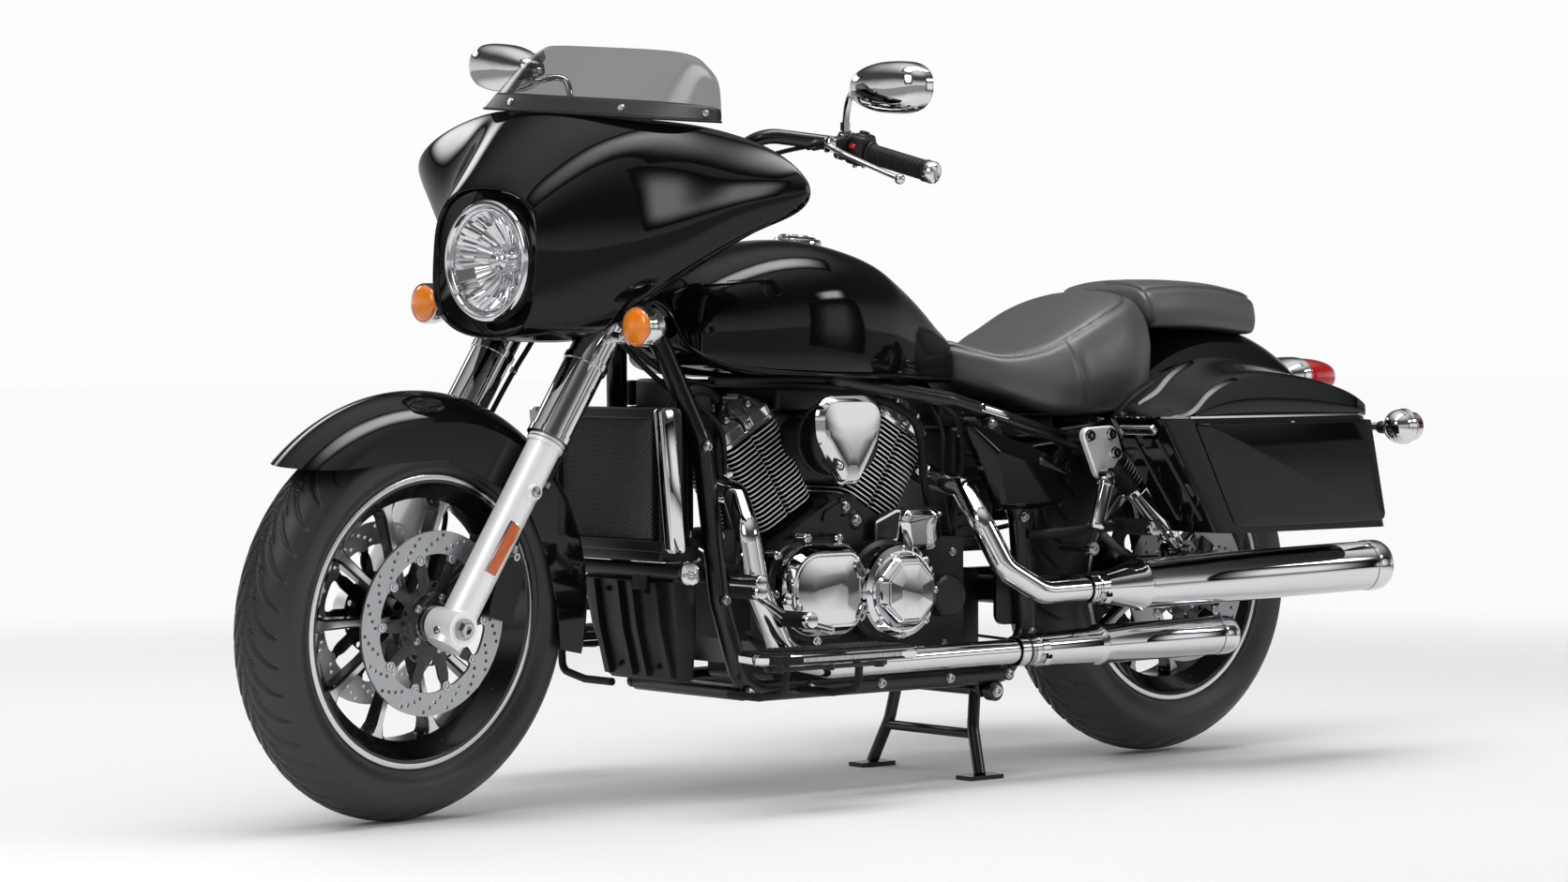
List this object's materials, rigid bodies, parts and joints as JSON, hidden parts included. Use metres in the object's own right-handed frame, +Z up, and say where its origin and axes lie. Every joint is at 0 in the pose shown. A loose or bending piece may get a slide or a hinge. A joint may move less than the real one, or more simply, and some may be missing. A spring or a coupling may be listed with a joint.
{
  "type": "touring cruiser motorcycle",
  "caption": "Touring cruiser motorcycle with a V-twin engine, fork-mounted fairing, hard saddlebags with lids and a deployed centre stand.",
  "frame": {"origin": "on the floor, midway along the machine, in the plane of its frame", "axes": "+X forward, +Y to the rider's left, +Z up"},
  "size_m": [2.5159, 1.0905, 1.331],
  "materials": {
    "gloss_black": "gloss",
    "frame_black": "semi gloss",
    "chrome": "polished",
    "satin_aluminium": "satin",
    "engine_black": "satin",
    "black_plastic": "matte",
    "tyre_rubber": "matte",
    "rubber": "matte",
    "leather": "satin",
    "disc_steel": "brushed",
    "smoked_screen": "tinted",
    "clear_lens": "clear",
    "red_lens": "gloss"
  },
  "bodies": {
    "chassis": {"frame": "frame_black", "swingarm": "frame_black", "rear_shocks": "chrome", "rear_axle": "disc_steel", "drive_belt": "rubber", "crankcase": "engine_black", "cylinders": "engine_black", "rocker_covers": "chrome", "air_cleaner": "chrome", "engine_covers": "chrome", "radiator": "black_plastic", "exhaust_pipes": "chrome", "mufflers": "chrome", "fuel_tank": "gloss_black", "filler_cap": "chrome", "rider_saddle": "leather", "pillion_pad": "leather", "side_covers": "gloss_black", "rear_fender": "gloss_black", "tail_light": "red_lens", "rear_signals": "chrome", "saddlebags": "gloss_black", "floorboards": "rubber", "foot_levers": "chrome", "passenger_pegs": "rubber", "rear_caliper": "black_plastic", "radiator_bars": "chrome"},
    "steering": {"yokes": "frame_black", "fork_legs": "satin_aluminium", "fork_covers": "chrome", "front_axle": "disc_steel", "front_fender": "gloss_black", "brake_calipers": "black_plastic", "fairing": "gloss_black", "windshield": "smoked_screen", "headlight": "chrome", "headlight_lens": "clear_lens", "instrument_panel": "black_plastic", "front_signals": "chrome", "handlebar": "frame_black", "grips": "rubber", "hand_controls": "disc_steel", "mirrors": "chrome", "brake_hoses": "rubber"},
    "front_wheel": {"front_tyre": "tyre_rubber", "front_rim": "engine_black", "front_discs": "disc_steel"},
    "rear_wheel": {"rear_tyre": "tyre_rubber", "rear_rim": "engine_black", "rear_disc_pulley": "disc_steel"},
    "left_lid": {"left_lid": "gloss_black"},
    "right_lid": {"right_lid": "gloss_black"},
    "centre_stand": {"centre_stand": "frame_black"}
  },
  "joints": [
    {"name": "steering_head", "type": "hinge", "parent": "chassis", "child": "steering", "pos_m": [0.88512, 0, 0.30467], "axis": [-0.5299, 0, 0.848], "range_deg": [-43, 25]},
    {"name": "front_wheel_spin", "type": "hinge", "parent": "steering", "child": "front_wheel", "pos_m": [0.93537, 0.00939, 0.33607], "axis": [-0.1327, 0.9877, -0.0829], "continuous": true},
    {"name": "rear_wheel_spin", "type": "hinge", "parent": "chassis", "child": "rear_wheel", "pos_m": [-0.77, 0, 0.33], "axis": [0, 1, 0], "continuous": true},
    {"name": "left_lid_hinge", "type": "hinge", "parent": "chassis", "child": "left_lid", "pos_m": [-0.66, 0.2507, 0.654], "axis": [1, 0, 0], "range_deg": [0, 50]},
    {"name": "right_lid_hinge", "type": "hinge", "parent": "chassis", "child": "right_lid", "pos_m": [-0.66, -0.2507, 0.654], "axis": [1, 0, 0], "range_deg": [-50, 0]},
    {"name": "centre_stand_pivot", "type": "hinge", "parent": "chassis", "child": "centre_stand", "pos_m": [-0.232, 0, 0.158], "axis": [0, 1, 0], "range_deg": [0, 88]}
  ]
}
